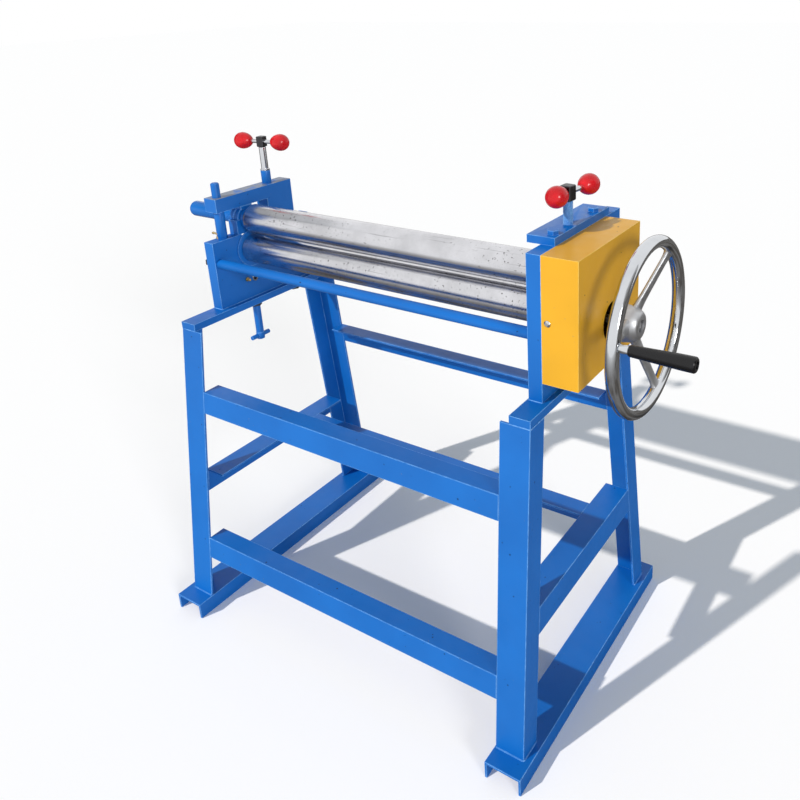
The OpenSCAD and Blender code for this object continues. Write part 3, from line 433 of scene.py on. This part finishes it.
def loft(rings, closed=False):
    """Quads between rings of equal length. The ends are capped unless the rings close on themselves."""
    count = len(rings[0])
    verts = [v for ring in rings for v in ring]
    faces = []
    last = len(rings) if closed else len(rings) - 1
    for i in range(last):
        a, b = i * count, (i + 1) % len(rings) * count
        faces += [(a + k, a + (k + 1) % count, b + (k + 1) % count, b + k) for k in range(count)]
    if not closed:
        faces += [tuple(range(count)), tuple(range(len(verts) - count, len(verts)))]
    return verts, faces


def join(shapes):
    """Several (verts, faces) as one."""
    verts, faces = [], []
    for more, cells in shapes:
        start = len(verts)
        verts += more
        faces += [tuple(start + k for k in cell) for cell in cells]
    return verts, faces


def circle(centre, side, other, radius, segments):
    """Points round a centre, in the plane of two directions at right angles."""
    turns = [TAU * k / segments for k in range(segments)]
    return [centre + (side * math.cos(a) + other * math.sin(a)) * radius for a in turns]


def lathe(profile, centre, axis, segments=72, closed=False):
    """Turns (along, radius) points, in metres, about an axis through centre."""
    axis = axis.normalized()
    side = axis.orthogonal().normalized()
    other = axis.cross(side)
    rings = [circle(centre + axis * along, side, other, radius, segments) for along, radius in profile]
    return loft(rings, closed)


def rounded(profile, radius, steps=3):
    """The (along, radius) profile with every inner corner rounded by up to radius."""
    points = [Vector(p) for p in profile]
    out = [points[0]]
    for before, here, after in zip(points, points[1:], points[2:]):
        # A little under half of each side, so that two roundings never meet
        reach = min(radius, (before - here).length / 2.1, (after - here).length / 2.1)
        start = here + (before - here).normalized() * reach
        end = here + (after - here).normalized() * reach
        for k in range(steps + 1):
            t = k / steps
            out.append(start * (1 - t) ** 2 + here * 2 * t * (1 - t) + end * t**2)
    out.append(points[-1])
    return [tuple(p) for p in out]


def swept(points, radius, segments=16):
    """A round bar through the points."""
    # Not along any of the bars, so that it gives each ring its sides
    guide = Vector((0.3, 0.2, 0.93))
    rings = []
    for before, here, after in zip([points[0]] + points[:-1], points, points[1:] + [points[-1]]):
        direction = (after - before).normalized()
        side = direction.cross(guide).normalized()
        rings.append(circle(here, side, direction.cross(side), radius, segments))
    return loft(rings)


def bowed(value, power):
    """A sine or cosine made fuller by a power below 1."""
    return math.copysign(abs(value) ** power, value)


# Handwheel
WHEEL_LOW, WHEEL_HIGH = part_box("hand_wheel")
WHEEL_CENTRE = middle("hand_wheel")
RIM_HALF_R, RIM_HALF_X = 14 * MM, 15 * MM
RIM_R = (WHEEL_HIGH.z - WHEEL_LOW.z) / 2 - RIM_HALF_R
RIM_X = WHEEL_HIGH.x - RIM_HALF_X
GRIP_SPOT = middle("grip_spindle") - WHEEL_CENTRE
GRIP_ANGLE = math.atan2(GRIP_SPOT.z, GRIP_SPOT.y)
SPOKES = 3


def radial(angle):
    """Outwards in the wheel's plane; 0 points to the rear and a quarter turn points up."""
    return Vector((0, math.cos(angle), math.sin(angle)))


def on_wheel_axis(x):
    return Vector((x, WHEEL_CENTRE.y, WHEEL_CENTRE.z))


def rim():
    """Rim of nearly round section."""
    points = 28
    turns = [TAU * k / points for k in range(points)]
    profile = [(RIM_HALF_X * math.sin(a), RIM_R + RIM_HALF_R * math.cos(a)) for a in turns]
    return lathe(profile, on_wheel_axis(RIM_X), ALONG_ROLLS, segments=160, closed=True)


def hub():
    """Domed hub, from the wheel's back face outwards."""
    outline = [(0, 15.1), (0, 42), (26, 42), (50, 38), (64, 29), (64, 15.1)]
    profile = rounded(in_metres(outline), 9 * MM, steps=6)
    return lathe(profile, on_wheel_axis(WHEEL_LOW.x), ALONG_ROLLS, segments=96, closed=True)


def spoke(angle):
    """A D-section arm that swells where the casting runs into the hub and into the rim."""
    out, across = radial(angle), radial(angle + TAU / 4)
    root_x, root_r = WHEEL_LOW.x + 38 * MM, 24 * MM
    tip_x, tip_r = RIM_X - 1 * MM, RIM_R - 6 * MM
    start = on_wheel_axis(root_x) + out * root_r
    end = on_wheel_axis(tip_x) + out * tip_r
    # Half sizes at the hub and at the rim, before the swelling there is added
    half_widths, half_depths = (15 * MM, 11 * MM), (6.5 * MM, 6.1 * MM)
    hub_wider, hub_deeper, hub_fade = 9 * MM, 7 * MM, 0.085
    rim_wider, rim_deeper, rim_fade = 11 * MM, 5 * MM, 0.045
    # Fullness of the section across the wheel, and along its axis at the front and at the back
    full_across, full_front, full_back = 0.8, 0.6, 0.9
    steps, points = 26, 20
    rings = []
    for i in range(steps + 1):
        t = i / steps
        hub_swell, rim_swell = math.exp(-t / hub_fade), math.exp(-(1 - t) / rim_fade)
        half_wide = between(*half_widths, t) + hub_wider * hub_swell + rim_wider * rim_swell
        half_deep = between(*half_depths, t) + hub_deeper * hub_swell + rim_deeper * rim_swell
        ring = []
        for k in range(points):
            c, s = math.cos(TAU * k / points), math.sin(TAU * k / points)
            wide = across * bowed(c, full_across) * half_wide
            deep = ALONG_ROLLS * bowed(s, full_front if s > 0 else full_back) * half_deep
            ring.append(between(start, end, t) + wide + deep)
        rings.append(ring)
    return loft(rings)


def make_wheel():
    spokes = [spoke(GRIP_ANGLE + k * TAU / SPOKES) for k in range(SPOKES)]
    add_piece("wheel_rim", rim(), "chrome", "lower_roll", smooth=80,
              replaced=["hand_wheel"])
    add_piece("wheel_hub_and_spokes", join([hub(), *spokes]), "cast", "lower_roll", smooth=48,
              replaced=["hand_wheel"])


def make_grip():
    """Tapered revolving grip, chamfered at its free end and bored for the spindle's head."""
    low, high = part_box("grip")
    length = (high.x - low.x) / MM
    bore, recess, recess_depth = 5.1, 8.3, 8
    outline = [
        (0, bore), (0, 10.2), (3, 12), (40, 13.2), (length - 30, 15.7), (length - 3.2, 16),
        (length, 13.2), (length, recess + 0.1), (length - recess_depth, recess),
        (length - recess_depth, bore),
    ]
    centre = on_wheel_axis(low.x) + radial(GRIP_ANGLE) * RIM_R
    shape = lathe(rounded(in_metres(outline), 1.1 * MM), centre, ALONG_ROLLS, closed=True)
    add_piece("turning_grip", shape, "black", "grip", smooth=38, replaced=["grip"])


# Screws with a handle bar and two egg knobs
KNOB_LENGTH, KNOB_WIDTH = 58 * MM, 48 * MM
# How much fuller the outer half is, and how much wider that makes the knob
KNOB_FULLNESS, KNOB_SWELL = 0.13, 1.01
# From a bar's middle to the centre of each knob
HALF_BAR = 62.5 * MM
RIGHT_BAR_TURN, LEFT_BAR_TURN = math.radians(85), math.radians(9)
RIGHT_HUB_SIDE, RIGHT_HUB_TALL = 26 * MM, 34 * MM
LEFT_HUB_SIDE, LEFT_HUB_TALL = 22 * MM, 30 * MM
HUB_CHAMFER = 1.6 * MM
# A knob's ends stay this far open, so that no ring is a single point
POLE = 0.01 * MM


def egg(centre, axis):
    """Egg knob, its small end towards the hub; axis points outwards."""
    steps = 30
    profile = []
    for k in range(steps + 1):
        a = math.pi * k / steps
        fullness = 1 - KNOB_FULLNESS * math.cos(a)
        radius = KNOB_WIDTH / 2 / KNOB_SWELL * math.sin(a) * fullness + POLE
        profile.append((-KNOB_LENGTH / 2 * math.cos(a), radius))
    return lathe(profile, centre, axis, segments=56)


def make_knobs(name, node, body, bar, turn):
    """Both egg knobs of one handle bar."""
    axis = Vector((math.cos(turn), math.sin(turn), 0))
    centre = middle(bar)
    knobs = join([egg(centre + axis * HALF_BAR, axis), egg(centre - axis * HALF_BAR, -axis)])
    add_piece(name, knobs, "red", body, smooth=60, replaced=[node])


def threaded(bottom, top, radius):
    """A rod with a rounded helical thread, between two points above each other."""
    pitch, depth = 2.5 * MM, 1.1 * MM
    # Above 1 it widens the crests and narrows the grooves
    crest_width = 1.6
    segments, rings_per_turn = 40, 6
    steps = round((top.z - bottom.z) / pitch * rings_per_turn)
    rings = []
    for i in range(steps + 1):
        z = between(bottom.z, top.z, i / steps)
        ring = []
        for k in range(segments):
            a = TAU * k / segments
            phase = TAU * (z / pitch - k / segments)
            r = radius - depth * (0.5 + 0.5 * math.cos(phase)) ** crest_width
            ring.append(Vector((bottom.x + r * math.cos(a), bottom.y + r * math.sin(a), z)))
        rings.append(ring)
    return loft(rings)


def chamfered_block(centre, turn, side, tall):
    """A square bar end with its upright edges and rims chamfered."""
    def outline(half, z):
        points = []
        for k in range(4):
            spin = Matrix.Rotation(turn + k * TAU / 4, 3, "Z")
            for y in (HUB_CHAMFER - half, half - HUB_CHAMFER):
                points.append(centre + spin @ Vector((half, y, z)))
        return points

    half, half_tall = side / 2, tall / 2
    return loft([
        outline(half - HUB_CHAMFER, -half_tall), outline(half, HUB_CHAMFER - half_tall),
        outline(half, half_tall - HUB_CHAMFER), outline(half - HUB_CHAMFER, half_tall),
    ])


def make_right_screw():
    """The top bearing's screw: a thread on a plain neck, a dark hub and its knobs."""
    low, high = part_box("top_screw")
    foot = middle("top_screw")
    foot.z = low.z
    height = high.z - low.z
    neck_radius, neck_length = 6, 22
    neck = lathe(in_metres([(0, neck_radius), (neck_length, neck_radius)]), foot, UP, segments=32)
    # The thread starts on the neck and ends just inside the hub
    thread_bottom = foot + UP * 13.6 * MM
    thread_top = foot + UP * (height - RIGHT_HUB_TALL + 1 * MM)
    stem = join([threaded(thread_bottom, thread_top, radius=11 * MM), neck])
    add_piece("right_screw_stem", stem, "blue", "top_screw", smooth=70,
              replaced=["top_screw"])
    hub_centre = foot + UP * (height - RIGHT_HUB_TALL / 2)
    block = chamfered_block(hub_centre, RIGHT_BAR_TURN, RIGHT_HUB_SIDE, RIGHT_HUB_TALL)
    add_piece("right_screw_hub", block, "hub", "top_screw", smooth=30,
              replaced=["top_screw"])
    make_knobs("right_knobs", "top_screw_knobs", "top_screw", "top_screw_bar", RIGHT_BAR_TURN)


def make_left_screw():
    """The release arm's clamp screw: a bright stem with a collar on the sleeve, a hub and its knobs."""
    hub_centre = middle("clamp_bar")
    foot = middle("clamp_screw")
    foot.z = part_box("clamp_screw")[0].z + 0.1 * MM
    # Along the stem, in millimetres from its foot; it stops 1 mm under the hub
    sleeve_top = (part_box("clamp_sleeve")[1].z - foot.z) / MM
    hub_bottom = (hub_centre.z - LEFT_HUB_TALL / 2 - foot.z) / MM
    collar, collar_top, end = sleeve_top + 0.2, sleeve_top + 5, hub_bottom - 1
    thin, stem_radius, collar_radius, open_end = 9, 10, 13, 0.1
    outline = [
        (0, open_end), (0, thin), (30, thin), (30.5, stem_radius), (collar, stem_radius),
        (collar, collar_radius), (collar_top, collar_radius), (collar_top, stem_radius),
        (end, stem_radius), (end, open_end),
    ]
    stem = lathe(rounded(in_metres(outline), 0.7 * MM), foot, UP, segments=56)
    add_piece("left_screw_stem", stem, "chrome", "clamp_screw", smooth=40,
              replaced=["clamp_screw"])
    block = chamfered_block(hub_centre, LEFT_BAR_TURN, LEFT_HUB_SIDE, LEFT_HUB_TALL)
    add_piece("left_screw_hub", block, "hub", "clamp_screw", smooth=30,
              replaced=["clamp_screw"])
    make_knobs("left_knobs", "clamp_knobs", "clamp_screw", "clamp_bar", LEFT_BAR_TURN)


# Welds, bearing housing and grease fittings
FOOT_WELD, PLATE_WELD, THIN_WELD = 2.6 * MM, 1.8 * MM, 1.5 * MM
# Runs of the beads along a leg's broad and side flanges, and along an end bar's side
BROAD_RUN, SIDE_RUN, BAR_RUN = 74.8 * MM, 59.9 * MM, 58 * MM
# An end bar's beads stop this short of its corner
WELD_GAP = 1 * MM


def bead(start, end, radius, rng):
    """A weld bead: overlapping ripples laid from start to end."""
    length = (end - start).length
    direction = (end - start).normalized()
    side = direction.orthogonal().normalized()
    other = direction.cross(side)
    ripple_pitch = radius * 0.9
    end_run = radius * 1.5
    steps = round(length / ripple_pitch * 3)
    rings = []
    for i in range(steps + 1):
        t = i / steps
        ripple = 0.84 + 0.16 * abs(math.sin(math.pi * t * length / ripple_pitch))
        taper = min(1.0, 0.3 + min(t, 1 - t) * length / end_run)
        r = radius * ripple * taper * rng.uniform(0.94, 1.06)
        rings.append(circle(start + direction * (length * t), side, other, r, segments=10))
    return loft(rings)


def make_welds():
    """Beads where the legs stand on the feet, under the end bars, and along the end plates."""
    rng = random.Random(7)
    beads = []
    for x_name, x_side in (("left", -1), ("right", 1)):
        # in_x and in_y point towards the middle of the stand
        in_x = Vector((-x_side, 0, 0))
        bar_low, bar_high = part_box(f"{x_name}_end_bar")
        bar_width = bar_high.x - bar_low.x
        for y_name, y_side in (("front", -1), ("rear", 1)):
            in_y = Vector((0, -y_side, 0))
            leg = corner(f"{y_name}_{x_name}_leg", x_side, y_side)
            beads.append(bead(leg, leg + in_x * BROAD_RUN, FOOT_WELD, rng))
            beads.append(bead(leg, leg + in_y * SIDE_RUN, FOOT_WELD, rng))
            bar = corner(f"{x_name}_end_bar", x_side, y_side)
            beads.append(bead(bar + in_x * bar_width, bar + in_x * WELD_GAP, THIN_WELD, rng))
            beads.append(bead(bar + in_y * WELD_GAP, bar + in_y * BAR_RUN, THIN_WELD, rng))
    for plate, inner_side in (("left_end_plate", 1), ("right_end_plate", -1)):
        for y_side in (-1, 1):
            beads.append(bead(corner(plate, -1, y_side), corner(plate, 1, y_side), PLATE_WELD, rng))
        front, rear = corner(plate, inner_side, -1), corner(plate, inner_side, 1)
        beads.append(bead(front, rear, THIN_WELD, rng))
    add_piece("weld_beads", join(beads), "blue", "stand", smooth=60)


def make_bearing_housing():
    """The grooved round housing between the release arm's post and the top roll."""
    axis_point = middle("top_roll")
    axis_point.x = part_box("left_end_plate")[0].x
    outer, groove, bore, length = 34.3, 31, 22.6, 32
    outline = [
        (0, bore), (0, outer), (13, outer), (13, groove), (18, groove), (18, outer),
        (length, outer), (length, bore),
    ]
    shape = lathe(rounded(in_metres(outline), 1.2 * MM), axis_point, ALONG_ROLLS, closed=True)
    add_piece("top_bearing_housing", shape, "blue", "top_carrier", smooth=40)


def make_plate_nipple(foot):
    """The grease fitting on the left plate's inner face: a hexagon and a grooved head."""
    hexagon = lathe(in_metres([(-2, 6.5), (5, 6.5), (6, 5.6)]), foot, ALONG_ROLLS, segments=6)
    outline = [(5.5, 3.2), (9, 3.2), (10, 4.4), (13, 4.4), (15, 2.6), (16, 1.4)]
    head = lathe(in_metres(outline), foot, ALONG_ROLLS, segments=32)
    shape = join([hexagon, head])
    add_piece("plate_nipple", shape, "brass", "stand", smooth=30,
              replaced=["grease_nipple"])


def make_plugged_hole(centre):
    """A raised rim and the plug in it, on the left plate's inner face."""
    outline = rounded(in_metres([(-1, 6.6), (-1, 10), (1.6, 10), (1.6, 6.6)]), 0.6 * MM)
    ring = lathe(outline, centre, ALONG_ROLLS, segments=40, closed=True)
    add_piece("plugged_hole_rim", ring, "steel", "stand", smooth=40)
    plug = lathe(in_metres([(-1, 6.7), (0.4, 6.7)]), centre, ALONG_ROLLS, segments=40)
    add_piece("plugged_hole_plug", plug, "dark", "stand", smooth=40)


def make_elbow_nipple(foot):
    """The brass elbow that stands on the left plate's top edge and turns to the front left."""
    bend = [(0, 0, 0), (0, 0, 12), (-1, -1, 15), (-3, -2, 17), (-7, -4, 18)]
    pipe = [foot + Vector(step) * MM for step in bend]
    tip = lathe(in_metres([(-1, 2.4), (1, 3.6), (4, 3.6), (6, 2.0), (7, 1.1)]), pipe[-1],
                Vector((-5, -3, 1)), segments=24)
    base = lathe(in_metres([(0, 4.6), (7, 4.6), (8, 3.9)]), foot, UP, segments=6)
    shape = join([swept(pipe, 2.6 * MM), tip, base])
    add_piece("elbow_nipple", shape, "brass", "stand", smooth=35)


def make_fittings():
    """What is screwed into the left end plate."""
    plate_low, plate_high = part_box("left_end_plate")
    nipple = middle("grease_nipple")
    nipple.x = plate_high.x
    make_plate_nipple(nipple)
    make_plugged_hole(nipple + Vector((0, 30, -4)) * MM)
    make_elbow_nipple(Vector((plate_low.x, plate_low.y, plate_high.z)) + Vector((9, 41, -1)) * MM)


# Stage
FLOOR_REACH = 30.0
# The key light, from the slope of the shadows: metres that a shadow moves for each metre of height
SHADOW_X, SHADOW_Y = 0.54, 1.15
KEY_COLOUR, FILL_COLOUR, WORLD_COLOUR = (1.0, 0.945, 0.875), WHITE, (0.78, 0.88, 1.0)
# The floor card, a painted reflection, dark from just in front of the object to far behind it and pale far
# in front: where its front edge is, where it has faded to dark, and its height
FLOOR_CARD_FRONT, FLOOR_CARD_DARK_Y, FLOOR_CARD_LIFT = -3.6, -0.7, 0.004
# The side cards, painted reflections, dark low down and pale towards the top: how far out they are, half
# their width, where they start to fade, and their top
SIDE_CARD_X, SIDE_CARD_HALF_Y, SIDE_CARD_FADE_Z, SIDE_CARD_TOP = 5.0, 2.3, 2.5, 6.0
# Colours of the painted reflections on the cards
REFLECTED_DARK, REFLECTED_GREY, REFLECTED_PALE = (0.10, 0.09, 0.08), (0.45, 0.45, 0.45), (0.9, 0.9, 0.9)


def add_sheet(name, corners, look):
    """A flat piece of the stage."""
    mesh = bpy.data.meshes.new(name)
    mesh.from_pydata(corners, [], [(0, 1, 2, 3)])
    mesh.materials.append(look.material)
    sheet = bpy.data.objects.new(name, mesh)
    scene.collection.objects.link(sheet)
    return sheet


def level_corners(front, rear, z):
    """Corners of a level sheet that reaches FLOOR_REACH to both sides."""
    left, right = -FLOOR_REACH, FLOOR_REACH
    return [(left, front, z), (right, front, z), (right, rear, z), (left, rear, z)]


def make_floor():
    """A white floor that meets the white background and keeps the object's shadow."""
    look = Look("pale_floor", 0.0, 0.9, Specular_IOR_Level=0.0, Base_Color=WHITE)
    add_sheet("floor", level_corners(-FLOOR_REACH, FLOOR_REACH, 0), look)


def add_reflection_card(name, corners, near, far, axis, fade):
    """A painted reflection: a dark card that only glossy surfaces see, never the camera; it lights nothing
    and casts no shadow.

    Its colour goes from the colour near to the colour far between the two places in fade along axis.
    """
    look = Look(name + "_painted_reflection", 0.0, 0.9, Specular_IOR_Level=0.0)
    shade = look.ramp(look.along(axis), *fade)
    uneven = look.patches(1.3, 0.42, 0.62, span=(0.0, 0.35), detail=2.0)
    look.set("Base Color", look.mix(uneven, look.mix(shade, near, far), REFLECTED_GREY))
    card = add_sheet(name, corners, look)
    card.visible_camera = False
    card.visible_diffuse = False
    card.visible_shadow = False


def make_reflection_cards():
    """Painted reflections: one card on the floor and one on each side, for the bright metal to mirror."""
    corners = level_corners(FLOOR_CARD_FRONT, FLOOR_REACH, FLOOR_CARD_LIFT)
    add_reflection_card("floor_reflection_card", corners, REFLECTED_PALE, REFLECTED_DARK, "Y", (FLOOR_CARD_FRONT, FLOOR_CARD_DARK_Y))
    for name, x in (("left_reflection_card", -SIDE_CARD_X), ("right_reflection_card", SIDE_CARD_X)):
        front, rear, top = -SIDE_CARD_HALF_Y, SIDE_CARD_HALF_Y, SIDE_CARD_TOP
        corners = [(x, front, 0), (x, rear, 0), (x, rear, top), (x, front, top)]
        add_reflection_card(name, corners, REFLECTED_DARK, REFLECTED_PALE, "Z", (SIDE_CARD_FADE_Z, SIDE_CARD_TOP))


def make_world():
    """Soft bluish fill light. The camera, and whatever mirrors or lets through, sees plain white."""
    world = bpy.data.worlds.new("studio")
    scene.world = world
    world.use_nodes = True
    nodes, links = world.node_tree.nodes, world.node_tree.links
    fill = nodes["Background"]
    fill.inputs["Color"].default_value = (*WORLD_COLOUR, 1.0)
    fill.inputs["Strength"].default_value = 0.36
    backdrop = nodes.new("ShaderNodeBackground")
    backdrop.inputs["Color"].default_value = (*WHITE, 1.0)
    backdrop.inputs["Strength"].default_value = 1.0
    path = nodes.new("ShaderNodeLightPath")
    seen = path.outputs["Is Camera Ray"]
    for name in ("Is Glossy Ray", "Is Transmission Ray"):
        either = nodes.new("ShaderNodeMath")
        either.operation = "MAXIMUM"
        links.new(seen, either.inputs[0])
        links.new(path.outputs[name], either.inputs[1])
        seen = either.outputs["Value"]
    choose = nodes.new("ShaderNodeMixShader")
    links.new(seen, choose.inputs["Fac"])
    links.new(fill.outputs["Background"], choose.inputs[1])
    links.new(backdrop.outputs["Background"], choose.inputs[2])
    links.new(choose.outputs["Shader"], nodes["World Output"].inputs["Surface"])


def add_lamp(name, energy, spread, colour, travel, glints):
    """A distant lamp whose light travels along travel; spread is its apparent width in degrees."""
    lamp = bpy.data.lights.new(name, "SUN")
    lamp.energy = energy
    lamp.angle = math.radians(spread)
    lamp.color = colour
    lamp_object = bpy.data.objects.new(name, lamp)
    scene.collection.objects.link(lamp_object)
    lamp_object.visible_glossy = glints
    lamp_object.rotation_mode = "QUATERNION"
    lamp_object.rotation_quaternion = Vector(travel).to_track_quat("-Z", "Y")


def make_lamps():
    """The key lamp gives the floor shadow, and a soft one from the right the shadow on the cover."""
    key_travel = (SHADOW_X, SHADOW_Y, -1.0)
    add_lamp("key", energy=3.0, spread=1.2, colour=KEY_COLOUR, travel=key_travel, glints=False)
    fill_travel = (-1.0, 0.55, -0.35)
    add_lamp("fill", energy=1.25, spread=18.0, colour=FILL_COLOUR, travel=fill_travel, glints=True)


# Camera, fitted to the photograph: where it stands and how it turns, in degrees
EYE = Vector((1.20278, -1.48309, 1.72125))
LEFT_OF_REAR, BELOW_LEVEL, CLOCKWISE = 31.526, 19.044, 1.591


def make_camera():
    data = bpy.data.cameras.new("camera")
    data.lens = 35.816
    data.sensor_width = 36.0
    data.shift_x, data.shift_y = -0.14, -0.18
    camera = bpy.data.objects.new("camera", data)
    scene.collection.objects.link(camera)
    heading = Matrix.Rotation(math.radians(LEFT_OF_REAR), 4, "Z")
    pitch = Matrix.Rotation(math.radians(90 - BELOW_LEVEL), 4, "X")
    roll = Matrix.Rotation(math.radians(-CLOCKWISE), 4, "Z")
    camera.matrix_world = Matrix.Translation(EYE) @ heading @ pitch @ roll
    scene.camera = camera


dress_nodes()

make_wheel()
make_grip()
make_bearing_housing()
make_fittings()
make_right_screw()
make_left_screw()
make_welds()

scene.view_settings.view_transform = "Standard"
make_floor()
make_world()
make_lamps()
make_reflection_cards()
make_camera()
